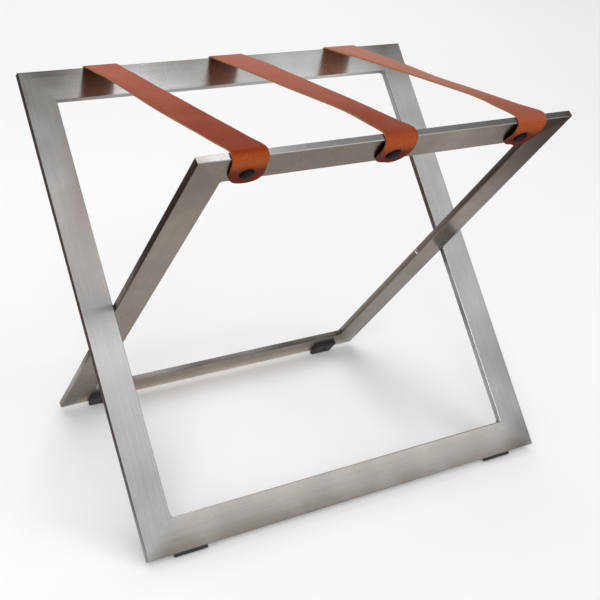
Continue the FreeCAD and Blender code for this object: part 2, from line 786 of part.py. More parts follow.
def export_pieces():
    """Check every object, then write each piece to a file of its own."""
    document.recompute()
    for item in document.Objects:
        if "Invalid" in item.State or "Error" in item.State:
            raise RuntimeError(f"{item.Label} failed: {item.State}")
    kinds = ("PartDesign::Body", "Part::Feature")
    pieces = [item for item in document.Objects if item.TypeId in kinds]
    for piece in pieces:
        if piece.Shape.isNull() or not piece.Shape.isValid() or not piece.Shape.Solids:
            raise RuntimeError(f"{piece.Label} has no valid solid")
    os.makedirs("parts", exist_ok=True)
    for piece in pieces:
        piece.Shape.exportStep(f"parts/{piece.Label}.step")
    print(f"{len(pieces)} pieces, pivot {PIVOT_HEIGHT:.1f} mm above the floor")


build_bench()
export_pieces()
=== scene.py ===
# %% [markdown]
# # A folding luggage rack
#
# Two welded frames of flat steel tube cross on one pivot, and three leather straps join their
# top bars. The frames, feet and pivots arrive as finished solids. This script gives them their
# brushed, moulded and plated finishes, models the leather and the screws that hold it, and sets
# up the studio.

# %% Load the frame
import json
import math

import bmesh
import bpy
import numpy as np
from mathutils import Matrix, Vector


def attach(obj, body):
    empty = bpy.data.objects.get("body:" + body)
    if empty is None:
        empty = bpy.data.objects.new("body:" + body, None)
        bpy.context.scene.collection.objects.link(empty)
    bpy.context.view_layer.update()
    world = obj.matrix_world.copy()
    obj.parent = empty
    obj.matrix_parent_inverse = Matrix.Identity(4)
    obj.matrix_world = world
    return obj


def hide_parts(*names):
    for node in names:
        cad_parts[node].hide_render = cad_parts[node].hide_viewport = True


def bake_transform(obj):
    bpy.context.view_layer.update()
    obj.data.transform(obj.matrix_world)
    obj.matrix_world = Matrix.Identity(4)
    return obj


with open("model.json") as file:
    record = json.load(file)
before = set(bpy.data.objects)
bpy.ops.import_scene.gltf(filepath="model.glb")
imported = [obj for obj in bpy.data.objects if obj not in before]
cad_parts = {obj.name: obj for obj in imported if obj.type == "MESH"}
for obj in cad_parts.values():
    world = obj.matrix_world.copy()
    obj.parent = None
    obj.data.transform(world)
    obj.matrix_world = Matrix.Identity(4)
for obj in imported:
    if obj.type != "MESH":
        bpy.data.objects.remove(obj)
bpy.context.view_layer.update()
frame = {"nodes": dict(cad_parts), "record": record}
nodes = frame["nodes"]
pivot = Vector(frame["record"]["behaviour"]["joints"][0]["pos_m"])

# %% [markdown]
# ## Sizes
#
# The leather has to lie on steel that is already there. Its places could be read off the solids'
# corners, but they are worked out from the same few sizes that the frames were made to, so that
# each one keeps its meaning. All lengths are metres. A point beside a frame is given by how far
# it stands out from the tube's middle plane and how far it is along the legs from the pivot. One
# function turns that into a place on the outer frame, which leans back, and its mirror image is
# the inner frame, which leans forward.

# %% Sizes
MM = 0.001
LEAN = math.radians(39.1)
OUTER_HALF_WIDTH = 300 * MM
FRAME_GAP = 1.8 * MM
LEGS_ABOVE_PIVOT = 320 * MM
LEGS_BELOW_PIVOT = 305 * MM
BAR_WIDTH = 42 * MM
BAR_DEPTH = 9 * MM
BAR_FACE = BAR_DEPTH / 2
INNER_HALF_WIDTH = OUTER_HALF_WIDTH - BAR_WIDTH - FRAME_GAP
STRAP_PITCH = 190 * MM
STRAP_THICKNESS = 2.5 * MM
STRAP_CLEARANCE = 0.3 * MM
STRAP_REAR_WIDTH = 50 * MM
STRAP_FRONT_WIDTH = 44 * MM
REAR_REACH = 39 * MM
FRONT_REACH = 45.5 * MM
REAR_BUTTON_DROP = 21 * MM
FRONT_BUTTON_DROP = 27 * MM
BUTTON_RADIUS = 8.6 * MM
print("half widths", round(OUTER_HALF_WIDTH, 4), round(INNER_HALF_WIDTH, 4))

# %% Places beside a frame
REAR, FRONT = 1, -1


def beside(side, outward, along):
    """A place in the YZ plane beside the rear (outer) or front (inner) frame, as (y, z)."""
    y = outward * math.cos(LEAN) + along * math.sin(LEAN)
    z = along * math.cos(LEAN) - outward * math.sin(LEAN)
    return np.array([side * y, pivot.z + z])


top_corner = beside(REAR, -BAR_FACE, LEGS_ABOVE_PIVOT)
print("inner edges of the top bars at y", round(top_corner[0], 4), "z", round(top_corner[1], 4))

# %% [markdown]
# ## The camera
#
# The camera stands in front of the rack's left side, above its top. It could aim itself with a
# Track To constraint. Three plain angles do the same without one, and each can be changed alone:
# round the upright axis, down from level, and a small roll. A slight lens shift slides the
# picture sideways without turning the camera.

# %% Camera
CAMERA_PLACE = Vector((-0.7607, -1.1363, 0.8252))
CAMERA_AZIMUTH = math.radians(30.74)
CAMERA_DOWN = math.radians(24.44)
CAMERA_ROLL = math.radians(2.73)
CAMERA_SENSOR = 36
CAMERA_LENS = 66.5
CAMERA_SHIFT = 0.11

camera_data = bpy.data.cameras.new("camera")
camera = bpy.data.objects.new("camera", camera_data)
bpy.context.scene.collection.objects.link(camera)
camera_data.sensor_width = CAMERA_SENSOR
camera_data.lens = CAMERA_LENS
camera_data.shift_x = CAMERA_SHIFT
camera.matrix_world = (
    Matrix.Translation(CAMERA_PLACE)
    @ Matrix.Rotation(-CAMERA_AZIMUTH, 4, "Z")
    @ Matrix.Rotation(math.pi / 2 - CAMERA_DOWN, 4, "X")
    @ Matrix.Rotation(CAMERA_ROLL, 4, "Z")
)
bpy.context.scene.camera = camera
print("camera", tuple(round(c, 3) for c in camera.location))

# %% [markdown]
# ## The studio
#
# The rack stands on a plain pale floor. Brushed steel shows mostly what is around it, so one
# flat grey would leave it dull. An image of a studio could surround it. Two soft spots in the
# world's own nodes do the same with a few numbers: a bright one halfway up in front, and a
# nearly black one halfway up on the right.

# %% Node helpers


def node_of(tree, kind, **inputs):
    """A new node with its input sockets set by name."""
    node = tree.nodes.new(kind)
    for name, value in inputs.items():
        node.inputs[name.replace("_", " ")].default_value = value
    return node


def remap(tree, value, low, high, to_low, to_high, smooth=False):
    """A value moved from one range to another, clamped."""
    node = tree.nodes.new("ShaderNodeMapRange")
    node.interpolation_type = "SMOOTHSTEP" if smooth else "LINEAR"
    node.inputs["From Min"].default_value = low
    node.inputs["From Max"].default_value = high
    node.inputs["To Min"].default_value = to_low
    node.inputs["To Max"].default_value = to_high
    tree.links.new(value, node.inputs["Value"])
    return node.outputs["Result"]


def math_of(tree, operation, first, second):
    """A Math node on two values, each a number or an output socket."""
    node = tree.nodes.new("ShaderNodeMath")
    node.operation = operation
    for socket, value in zip(node.inputs, (first, second)):
        if isinstance(value, (int, float)):
            socket.default_value = value
        else:
            tree.links.new(value, socket)
    return node.outputs["Value"]


print("helpers for node trees", [made.__name__ for made in (node_of, remap, math_of)])

# %% World
WORLD_EVEN = 0.72
WORLD_BRIGHT = 0.85
DARK_SHARE = 0.90
BRIGHT_TOWARDS = Vector((0.24, -0.66, 0.71)).normalized()
DARK_TOWARDS = Vector((0.74, 0.25, 0.62)).normalized()
# How far from its middle each spot ends and how far it is full, in degrees
BRIGHT_ANGLES = (62, 22)
DARK_ANGLES = (36, 25)


def near_direction(tree, place, centre, angles):
    """A soft mask, 1 within the narrow angle of a direction and 0 past the wide one."""
    facing = tree.nodes.new("ShaderNodeVectorMath")
    facing.operation = "DOT_PRODUCT"
    facing.inputs[1].default_value = centre
    tree.links.new(place, facing.inputs[0])
    low, high = (math.cos(math.radians(angle)) for angle in angles)
    return remap(tree, facing.outputs["Value"], low, high, 0.0, 1.0, smooth=True)


def make_world():
    """An even surround with one bright and one dark spot."""
    world = bpy.data.worlds.new("studio")
    bpy.context.scene.world = world
    world.use_nodes = True
    tree = world.node_tree
    tree.nodes.clear()
    place = tree.nodes.new("ShaderNodeTexCoord").outputs["Generated"]
    bright = near_direction(tree, place, BRIGHT_TOWARDS, BRIGHT_ANGLES)
    dark = near_direction(tree, place, DARK_TOWARDS, DARK_ANGLES)
    level = math_of(tree, "ADD", WORLD_EVEN, math_of(tree, "MULTIPLY", bright, WORLD_BRIGHT))
    kept = math_of(tree, "SUBTRACT", 1.0, math_of(tree, "MULTIPLY", dark, DARK_SHARE))
    background = tree.nodes.new("ShaderNodeBackground")
    output = tree.nodes.new("ShaderNodeOutputWorld")
    tree.links.new(math_of(tree, "MULTIPLY", level, kept), background.inputs["Strength"])
    tree.links.new(background.outputs["Background"], output.inputs["Surface"])


make_world()
print("world from", round(WORLD_EVEN * (1 - DARK_SHARE), 3), "to", round(WORLD_EVEN + WORLD_BRIGHT, 3))

# %% Floor
FLOOR_COLOUR = (0.90, 0.90, 0.90, 1)
FLOOR_HALF_WIDTH = 12.0
SQUARE = ((-1, -1), (1, -1), (1, 1), (-1, 1))


def add_plain(name, corners, colour):
    """A flat four-cornered stage piece with a dull paint."""
    mesh = bpy.data.meshes.new(name)
    mesh.from_pydata(corners, [], [(0, 1, 2, 3)])
    piece = bpy.data.objects.new(name, mesh)
    bpy.context.scene.collection.objects.link(piece)
    paint = bpy.data.materials.new(f"{name}_paint")
    paint.use_nodes = True
    shader = paint.node_tree.nodes["Principled BSDF"]
    shader.inputs["Base Color"].default_value = colour
    shader.inputs["Roughness"].default_value = 1.0
    shader.inputs["Specular IOR Level"].default_value = 0.0
    mesh.materials.append(paint)
    return piece


floor_corners = [(x * FLOOR_HALF_WIDTH, y * FLOOR_HALF_WIDTH, 0) for x, y in SQUARE]
add_plain("floor", floor_corners, FLOOR_COLOUR)
print("floor", floor_corners[0], "to", floor_corners[2])

# %% [markdown]
# ## Lamps
#
# Point lamps would draw hard shadows, so all four are rectangles. A wide one overhead and one at
# the front left give the leather its shape. A small one high on the right is mirrored in the
# front bar's upper edge, and the last one keeps the floor pale far behind the rack.

# %% Lamps
# Each lamp: its place, what it aims at, its two sides in metres and its power in watts
LAMPS = {
    "overhead": ((0.0, 0.80, 2.0), (0.0, 0.5, 0.0), (1.9, 1.4), 8),
    "front_left": ((-1.6, -1.9, 1.9), (0.0, 0.0, 0.3), (1.2, 1.2), 30),
    "edge_light": ((0.54, -0.17, 2.0), (0.0, -0.2, 0.4), (0.18, 0.18), 1.4),
    "far_floor": ((1.6, 3.4, 3.0), (1.5, 3.2, 0.0), (3.0, 2.0), 31),
}


def make_lamp(name, place, aim, sides, power):
    """A rectangular soft lamp."""
    data = bpy.data.lights.new(name, "AREA")
    data.shape = "RECTANGLE"
    data.size, data.size_y = sides
    data.energy = power
    lamp = bpy.data.objects.new(name, data)
    bpy.context.scene.collection.objects.link(lamp)
    lamp.location = place
    lamp.rotation_euler = (Vector(aim) - Vector(place)).to_track_quat("-Z", "Y").to_euler()


for name, setting in LAMPS.items():
    make_lamp(name, *setting)

# %% [markdown]
# ## Dark cards
#
# A polished edge under an even light looks flat, so a studio stands dark cards just outside the
# picture: the edges that face them turn dark and draw the outline. Darker steel would not do,
# because it is dark from every side. These three cards show only in reflections, so that they
# cast no shadow and never stand in front of another view.

# %% Cards for the reflections
CARD_COLOUR = (0.165, 0.115, 0.095, 1)
CARD_FRONT, CARD_BACK, CARD_PAST_BACK = -0.35, 0.50, 0.70
CARD_LEFT, CARD_RIGHT = -0.345, 0.62
# Each card: where its foot starts and ends on the floor, and its height
CARDS = {
    "left_card": ((CARD_LEFT, CARD_FRONT), (CARD_LEFT, CARD_BACK), 0.60),
    "right_card": ((CARD_RIGHT, CARD_FRONT), (CARD_RIGHT, CARD_PAST_BACK), 0.34),
    "back_card": ((CARD_LEFT, CARD_BACK), (CARD_RIGHT, CARD_BACK), 0.24),
}


def make_card(name, start, end, height):
    """An upright card over a straight line on the floor, seen only by glossy surfaces."""
    (x0, y0), (x1, y1) = start, end
    corners = [(x0, y0, 0), (x1, y1, 0), (x1, y1, height), (x0, y0, height)]
    card = add_plain(name, corners, CARD_COLOUR)
    card.visible_camera = False
    card.visible_diffuse = False
    card.visible_shadow = False
    card.visible_transmission = False


for name, setting in CARDS.items():
    make_card(name, *setting)
print("cards", list(CARDS))

# %% [markdown]
# ## Brushed steel
#
# A belt sander leaves fine scratches along each tube, and behind them broad cloudy patches where
# it pressed harder. A scanned texture could show both. Noise in the piece's own space, turned to
# lie in the frame's plane, has no seams and needs no image: drawn out about a hundredfold along
# the tube it makes scratches, and left round it makes clouds. Scratches also spread a reflection
# across themselves and leave it sharp along them, which is what the shader's Anisotropic value
# does once its tangent is the way that they run.

# %% Steel colours
STEEL = (0.372, 0.371, 0.367, 1)
# The warm colour is a painted reflection of the room, mixed into the steel
STEEL_WARM_REFLECTION = (0.236, 0.200, 0.164, 1)
STEEL_SMOOTH, STEEL_ROUGH = 0.24, 0.32


def new_material(name, colour, roughness, metallic=0.0):
    """A material with its shader and node tree, as (material, tree, shader)."""
    material = bpy.data.materials.new(name)
    material.use_nodes = True
    tree = material.node_tree
    shader = tree.nodes["Principled BSDF"]
    shader.inputs["Base Color"].default_value = colour
    shader.inputs["Roughness"].default_value = roughness
    shader.inputs["Metallic"].default_value = metallic
    return material, tree, shader


def mix_colour(tree, factor, first, second):
    """A colour between two, each a colour or an output socket."""
    node = tree.nodes.new("ShaderNodeMix")
    node.data_type = "RGBA"
    for socket, value in ((node.inputs[6], first), (node.inputs[7], second)):
        if isinstance(value, tuple):
            socket.default_value = value
        else:
            tree.links.new(value, socket)
    tree.links.new(factor, node.inputs[0])
    return node.outputs[2]


print("steel from", STEEL[:3], "to", STEEL_WARM_REFLECTION[:3])

# %% Spaces and noise
# A noise value lies mostly between these two
NOISE_RANGE = (0.3, 0.7)


def frame_space(tree, turn):
    """Object coordinates turned about the pivot, so that Z runs along the legs."""
    place = tree.nodes.new("ShaderNodeTexCoord")
    turned = tree.nodes.new("ShaderNodeMapping")
    turned.inputs["Rotation"].default_value = (turn, 0, 0)
    turned.inputs["Location"].default_value = -(Matrix.Rotation(turn, 3, "X") @ pivot)
    tree.links.new(place.outputs["Object"], turned.inputs["Vector"])
    return turned.outputs["Vector"]


def stretched(tree, space, scale):
    """A space scaled along its axes."""
    mapping = tree.nodes.new("ShaderNodeMapping")
    mapping.inputs["Scale"].default_value = scale
    tree.links.new(space, mapping.inputs["Vector"])
    return mapping.outputs["Vector"]


def noise(tree, space, scale, detail, roughness=0.5):
    """A noise texture's value in the given space: its lumps to a metre, and how fine it goes."""
    texture = node_of(tree, "ShaderNodeTexNoise", Scale=scale, Detail=detail, Roughness=roughness)
    tree.links.new(space, texture.inputs["Vector"])
    return texture.outputs["Fac"]


print("legs' space turned by", round(math.degrees(LEAN), 1), "degrees either way")

# %% [markdown]
# ## Patches and fades
#
# The welded corners are ground flush and the tubes brushed by hand. Steel mirrors what is around
# it, and the lighter, darker and warmer places here are painted reflections in its colour. A
# painted mask could hold them. A short list of round patches, and of fades along a bar, is easier
# to change. The tone is worked out from the place on the frame alone, so it runs on from a leg
# into a bar. A painted warm reflection makes the inner frame warm, and the faces towards the front
# warmer than those towards the back.

# %% Patches and fades
# Painted reflections, lighter or darker patches on a frame:
# (place across, place along from the pivot, reach, gain), lengths in metres
OUTER_PAINTED_REFLECTIONS = (
    (-0.290, 0.315, 0.155, -0.50),
    (-0.290, -0.250, 0.12, -0.10),
    (0.150, -0.290, 0.10, 0.12),
    (0.290, 0.305, 0.08, -0.35),
    (0.290, -0.295, 0.055, -0.36),
    (-0.280, -0.060, 0.08, 0.22),
    (-0.285, 0.090, 0.14, 0.20),
    (-0.080, 0.300, 0.10, -0.14),
    (0.130, 0.300, 0.15, 0.42),
)
INNER_PAINTED_REFLECTIONS = (
    (-0.240, -0.290, 0.10, -0.42),
    (0.225, -0.240, 0.15, -0.17),
    (0.235, -0.100, 0.26, -0.26),
    (0.240, 0.270, 0.20, -0.42),
)
# Painted reflections fading along a bar, lighter, darker or warmer:
# (along from, along to, gain from, gain to, warmth from, warmth to)
OUTER_BOTTOM_FADES = ((-0.303, -0.266, -0.22, 0.34, 0.45, 0.45),)
OUTER_TOP_FADES = ((0.280, 0.318, 0.10, -0.22, 0.0, 0.0),)
INNER_BOTTOM_FADES = (
    (-0.304, -0.278, 1.40, 0.30, 0.0, 0.0),
    (-0.2640, -0.2631, 0.0, -0.62, 0.0, -0.5),
)
INNER_TOP_FADES = ((0.3190, 0.3198, 0.0, 0.18, 0.0, -0.9),)
# A frame: its half width, its painted reflection patches, how warm its painted reflection is,
# and its bottom and top bars' fades
OUTER_LOOK = (OUTER_HALF_WIDTH, OUTER_PAINTED_REFLECTIONS, 0.0, (OUTER_BOTTOM_FADES, OUTER_TOP_FADES))
INNER_LOOK = (INNER_HALF_WIDTH, INNER_PAINTED_REFLECTIONS, 1.0, (INNER_BOTTOM_FADES, INNER_TOP_FADES))
# From where to where past a mitre a leg's tone gives way to its bar's
MITRE_BLEND = (-12 * MM, 26 * MM)


def patch_gain(tree, space, patches, total):
    """The total with each patch's gain added, fading from its centre to its reach."""
    flat = stretched(tree, space, (1, 0, 1))
    for across, along, reach, gain in patches:
        apart = tree.nodes.new("ShaderNodeVectorMath")
        apart.operation = "DISTANCE"
        apart.inputs[1].default_value = (across, 0, along)
        tree.links.new(flat, apart.inputs[0])
        patch = remap(tree, apart.outputs["Value"], 0.0, reach, gain, 0.0, smooth=True)
        total = math_of(tree, "ADD", total, patch)
    return total


def bar_share(tree, parts, half, from_end):
    """1 on the bar at one end of a frame and 0 on its legs, blended over the mitres."""
    across = math_of(tree, "ABSOLUTE", parts.outputs["X"], 0.0)
    from_side = math_of(tree, "SUBTRACT", half, across)
    past_mitre = math_of(tree, "SUBTRACT", from_side, from_end)
    return remap(tree, past_mitre, *MITRE_BLEND, 0.0, 1.0, smooth=True)


print("patches", len(OUTER_PAINTED_REFLECTIONS), "outer and", len(INNER_PAINTED_REFLECTIONS), "inner")

# %% Tone of a frame
# The clouds' noise: lumps to a metre, how fine it goes and how rough it is
CLOUDS = (15.0, 4.0, 0.55)
CLOUD_DEPTH = 0.06
# Painted reflection: steel darker than the first level is this much warmer, and lighter than the
# second not at all
WARM_REFLECTION_LEVELS = (0.5, 1.0)
DARK_REFLECTION_WARMTH = 0.45
# From a frame's front face to its back one, and how much of the painted warm reflection
# the back has
THROUGH_BAR = (-4 * MM, 4 * MM)
BACK_WARMTH = 0.15


def frame_tone(tree, space, look):
    """How bright and warm the steel is, painted reflections included, the same on legs and bars."""
    half, patches, warmth, bars = look
    parts = tree.nodes.new("ShaderNodeSeparateXYZ")
    tree.links.new(space, parts.inputs["Vector"])
    along = parts.outputs["Z"]
    cloud = noise(tree, space, *CLOUDS)
    level = remap(tree, cloud, *NOISE_RANGE, 1 - CLOUD_DEPTH, 1 + CLOUD_DEPTH, smooth=True)
    # Painted reflections: lighter and darker patches
    level = patch_gain(tree, space, patches, level)
    from_ends = (
        math_of(tree, "ADD", along, LEGS_BELOW_PIVOT),
        math_of(tree, "SUBTRACT", LEGS_ABOVE_PIVOT, along),
    )
    for from_end, fades in zip(from_ends, bars):
        share = bar_share(tree, parts, half, from_end)
        for low, high, gain_low, gain_high, warm_low, warm_high in fades:
            gain = remap(tree, along, low, high, gain_low, gain_high)
            level = math_of(tree, "ADD", level, math_of(tree, "MULTIPLY", gain, share))
            warming = remap(tree, along, low, high, warm_low, warm_high)
            warmth = math_of(tree, "ADD", warmth, math_of(tree, "MULTIPLY", warming, share))
    # Painted warm reflection: darker steel is warmer, and the front faces warmer than the back ones
    dark_warmth = remap(tree, level, *WARM_REFLECTION_LEVELS, DARK_REFLECTION_WARMTH, 0.0)
    facing = remap(tree, parts.outputs["Y"], *THROUGH_BAR, 1.0, BACK_WARMTH)
    warmth = math_of(tree, "MULTIPLY", facing, math_of(tree, "ADD", warmth, dark_warmth))
    return level, warmth, cloud


print("clouds", CLOUDS[0], "to a metre, depth", CLOUD_DEPTH)

# %% Brush marks
# Streaks: their lines to a metre across the brushing and along it
FINE_STREAKS, BROAD_STREAKS = (800.0, 6.0), (260.0, 4.0)
FINE_GAIN, BROAD_GAIN = 0.05, 0.022
STREAK_DETAIL = 2.0
BRUSH_STRETCH = 0.75
# The shader stretches a reflection along its tangent and a scratch across itself: a quarter turn
BRUSH_TURN = 0.25
SCRATCH_BUMP, SCRATCH_DEPTH = 0.03, 0.1 * MM


def streaks(tree, space, brush_axis, across, length):
    """Noise drawn out along the brushing: so many lines to a metre across it and along it."""
    scale = [across] * 3
    scale[brush_axis] = length
    return noise(tree, stretched(tree, space, scale), 1.0, STREAK_DETAIL)


def brush_direction(tree, turn, brush_axis):
    """The way the scratches run, which the shader needs as its tangent."""
    direction = Vector((0, 0, 0))
    direction[brush_axis] = 1
    node = tree.nodes.new("ShaderNodeVectorTransform")
    node.vector_type = "VECTOR"
    node.convert_from, node.convert_to = "OBJECT", "WORLD"
    node.inputs["Vector"].default_value = Matrix.Rotation(-turn, 3, "X") @ direction
    return node.outputs["Vector"]


def bumped(tree, shader, height, strength, depth):
    """Let a value raise the shader's surface."""
    bump = node_of(tree, "ShaderNodeBump", Strength=strength, Distance=depth)
    tree.links.new(height, bump.inputs["Height"])
    tree.links.new(bump.outputs["Normal"], shader.inputs["Normal"])


def brushed_steel(name, turn, brush_axis, look):
    """Steel brushed along X (0) or along the legs (2), with its frame's tone."""
    material, tree, shader = new_material(name, STEEL, STEEL_ROUGH, metallic=1.0)
    space = frame_space(tree, turn)
    level, warmth, cloud = frame_tone(tree, space, look)
    fine = streaks(tree, space, brush_axis, *FINE_STREAKS)
    broad = streaks(tree, space, brush_axis, *BROAD_STREAKS)
    for lines, gain in ((fine, FINE_GAIN), (broad, BROAD_GAIN)):
        level = math_of(tree, "ADD", level, remap(tree, lines, *NOISE_RANGE, -gain, gain))
    # The steel's colour with its painted warm reflection, scaled by its tone and painted reflections
    tinted = tree.nodes.new("ShaderNodeVectorMath")
    tinted.operation = "SCALE"
    tree.links.new(mix_colour(tree, warmth, STEEL, STEEL_WARM_REFLECTION), tinted.inputs["Vector"])
    tree.links.new(level, tinted.inputs["Scale"])
    tree.links.new(tinted.outputs["Vector"], shader.inputs["Base Color"])
    polish = remap(tree, cloud, *NOISE_RANGE, STEEL_ROUGH, STEEL_SMOOTH)
    tree.links.new(polish, shader.inputs["Roughness"])
    shader.inputs["Anisotropic"].default_value = BRUSH_STRETCH
    shader.inputs["Anisotropic Rotation"].default_value = BRUSH_TURN
    tree.links.new(brush_direction(tree, turn, brush_axis), shader.inputs["Tangent"])
    bumped(tree, shader, fine, SCRATCH_BUMP, SCRATCH_DEPTH)
    return material


print("scratches", FINE_STREAKS[0], "to a metre")

# %% Steel on the tubes
BRUSHED_ACROSS, BRUSHED_ALONG = 0, 2


def finish_node(name, material):
    """Give a solid one material all over."""
    mesh = nodes[name].data
    mesh.materials.clear()
    mesh.materials.append(material)


for label, turn, look in (("outer", LEAN, OUTER_LOOK), ("inner", -LEAN, INNER_LOOK)):
    leg = brushed_steel(f"{label}_leg_steel", turn, BRUSHED_ALONG, look)
    bar = brushed_steel(f"{label}_bar_steel", turn, BRUSHED_ACROSS, look)
    for side in ("left", "right"):
        finish_node(f"{label}_{side}_leg", leg)
    for level in ("top", "bottom"):
        finish_node(f"{label}_{level}_bar", bar)
    finish_node(f"{label}_frame_welds", leg)
    print("brushed", leg.name, "and", bar.name)

# %% [markdown]
# ## Small black and bright parts
#
# The feet are moulded rubber: nearly black and rather rough. The washers between the legs are
# black nylon and the button heads are blackened, both a little smoother. The bolts, blocks,
# sleeves in the bars and foot screws are bright zinc, and the sleeves that the bolts turn in are
# bronze. Each could be one flat colour, but then it would look unreal up close, so one recipe
# gives all five an even fine grain and a slightly uneven gloss.

# %% Rubber, nylon, zinc and bronze
GRAIN_DETAIL, GRAIN_ROUGHNESS = 3.0, 0.6
GRAIN_BUMP = 0.4
GLOSS_SPREAD = 0.07
# The specular level of the dullest surfaces
DULL_SPECULAR = 0.05
# Each finish: colour, roughness, whether it is a metal, grains to a metre and their depth
FINISHES = {
    "foot_rubber": ((0.012, 0.012, 0.016, 1), 0.55, 0.0, 1800.0, 0.1 * MM),
    "washer_nylon": ((0.02, 0.02, 0.022, 1), 0.45, 0.0, 900.0, 0.05 * MM),
    "button_black": ((0.005, 0.005, 0.007, 1), 0.45, 0.0, 1500.0, 0.03 * MM),
    "bright_zinc": ((0.60, 0.60, 0.61, 1), 0.28, 1.0, 1200.0, 0.03 * MM),
    "sleeve_bronze": ((0.50, 0.33, 0.17, 1), 0.35, 1.0, 1200.0, 0.03 * MM),
}


def grained(name):
    """One of the plain finishes, with its grain and its slightly uneven gloss."""
    colour, roughness, metallic, grains, depth = FINISHES[name]
    material, tree, shader = new_material(name, colour, roughness, metallic)
    space = tree.nodes.new("ShaderNodeTexCoord").outputs["Object"]
    grain = noise(tree, space, grains, GRAIN_DETAIL, GRAIN_ROUGHNESS)
    low, high = roughness - GLOSS_SPREAD, roughness + GLOSS_SPREAD
    tree.links.new(remap(tree, grain, *NOISE_RANGE, low, high), shader.inputs["Roughness"])
    bumped(tree, shader, grain, GRAIN_BUMP, depth)
    return material


plain = {name: grained(name) for name in FINISHES}
button_black = plain["button_black"]
black_shader = button_black.node_tree.nodes["Principled BSDF"]
black_shader.inputs["Specular IOR Level"].default_value = DULL_SPECULAR
for side in ("left", "right"):
    finish_node(f"outer_{side}_foot", plain["foot_rubber"])
    finish_node(f"inner_{side}_foot", plain["foot_rubber"])
    finish_node(f"{side}_pivot_bolt", plain["bright_zinc"])
    finish_node(f"{side}_pivot_nut_block", plain["bright_zinc"])
    finish_node(f"{side}_pivot_bush", plain["sleeve_bronze"])
    finish_node(f"{side}_pivot_spacer", plain["washer_nylon"])
for name in ("outer_foot_screws", "inner_foot_screws", "front_strap_inserts", "rear_strap_inserts"):
    finish_node(name, plain["bright_zinc"])
print("small finishes", list(plain))

# %% [markdown]
# ## The straps' route
#
# Seen from the side, each strap is one line: up the outside of the rear bar, tight over its
# edge, across to the front bar, and down over that bar in a looser bend. Thick leather doesn't
# fold flat there: it stands out from the bar below the bend and comes back to it at the button.
# A cloth simulation could find that line, but stretched leather hardly moves, and its bend is
# easier to draw. The route is a handful of points, and a Catmull-Rom curve, which passes through
# every one of them, makes it smooth.

# %% Over the rear bar
TOP = LEGS_ABOVE_PIVOT
LIE = STRAP_CLEARANCE + STRAP_THICKNESS / 2
# Places behind the bar, below its top edge, from the strap's end up
REAR_DROPS = (REAR_REACH, 26 * MM, 12 * MM, 3 * MM)
# How far the leather's middle stays inside a sharp turn over the bar's edge
TURN_CUT = 0.3 * LIE
# Places on top of the bar, from its outer face to its inner one
REAR_TOP_PLACES = (BAR_FACE - 3 * MM, 0, 1 * MM - BAR_FACE)


def rear_points():
    """The route over the rear bar, from the strap's end to the start of the span."""
    out = BAR_FACE + LIE
    behind = [beside(REAR, out, TOP - drop) for drop in REAR_DROPS]
    turn = beside(REAR, out - TURN_CUT, TOP + LIE - TURN_CUT)
    above = [beside(REAR, place, TOP + LIE) for place in REAR_TOP_PLACES]
    return [*behind, turn, *above]


print("points over the rear bar", len(rear_points()))

# %% Over the front bar
# The leather's middle over the bar, in mm: (drop below its upper edge, out from its face)
FRONT_BEND = (
    (-1.55, -8.5),
    (-1.75, -5.0),
    (-1.5, -2.0),
    (-0.2, 0.4),
    (3.6, 2.7),
    (8.6, 4.6),
    (16.0, 5.5),
    (25.0, 4.9),
    (34.0, 3.2),
    (45.5, 1.9),
)


def front_points(kept):
    """The route over the front bar, with the kept share of the bend's stand from the bar."""
    points = []
    for drop, out in FRONT_BEND:
        settled = (1 - kept) * max(out * MM - LIE, 0.0)
        points.append(beside(FRONT, BAR_FACE + out * MM - settled, TOP - drop * MM))
    return points


print("points over the front bar", len(front_points(1.0)))

# %% The whole route
SPAN_STATIONS = 9
ROUTE_STEP = 1.6 * MM


def catmull_rom(points, step):
    """A smooth line through the points, sampled about every step."""
    points = np.array(points)
    padded = np.vstack([2 * points[0] - points[1], points, 2 * points[-1] - points[-2]])
    line = [points[0]]
    for p0, p1, p2, p3 in zip(padded, padded[1:], padded[2:], padded[3:]):
        steps = [np.linalg.norm(b - a) ** 0.5 for a, b in ((p0, p1), (p1, p2), (p2, p3))]
        knots = np.cumsum([0.0] + steps)
        count = max(2, math.ceil(np.linalg.norm(p2 - p1) / step))
        for t in np.linspace(knots[1], knots[2], count + 1)[1:]:
            a1 = (knots[1] - t) / knots[1] * p0 + t / knots[1] * p1
            a2 = ((knots[2] - t) * p1 + (t - knots[1]) * p2) / (knots[2] - knots[1])
            a3 = ((knots[3] - t) * p2 + (t - knots[2]) * p3) / (knots[3] - knots[2])
            b1 = ((knots[2] - t) * a1 + t * a2) / knots[2]
            b2 = ((knots[3] - t) * a2 + (t - knots[1]) * a3) / (knots[3] - knots[1])
            line.append(((knots[2] - t) * b1 + (t - knots[1]) * b2) / (knots[2] - knots[1]))
    return np.array(line)


def strap_route(kept):
    """The whole route from the rear end to the front one, and the distance along it."""
    rear, front = rear_points(), front_points(kept)
    shares = np.linspace(0, 1, SPAN_STATIONS + 2)[1:-1]
    span = [rear[-1] + (front[0] - rear[-1]) * share for share in shares]
    route = catmull_rom(rear + span + front, ROUTE_STEP)
    steps = np.linalg.norm(np.diff(route, axis=0), axis=1)
    return route, np.concatenate([[0], np.cumsum(steps)])


print("leather length with a full bend", round(strap_route(1.0)[1][-1], 4))

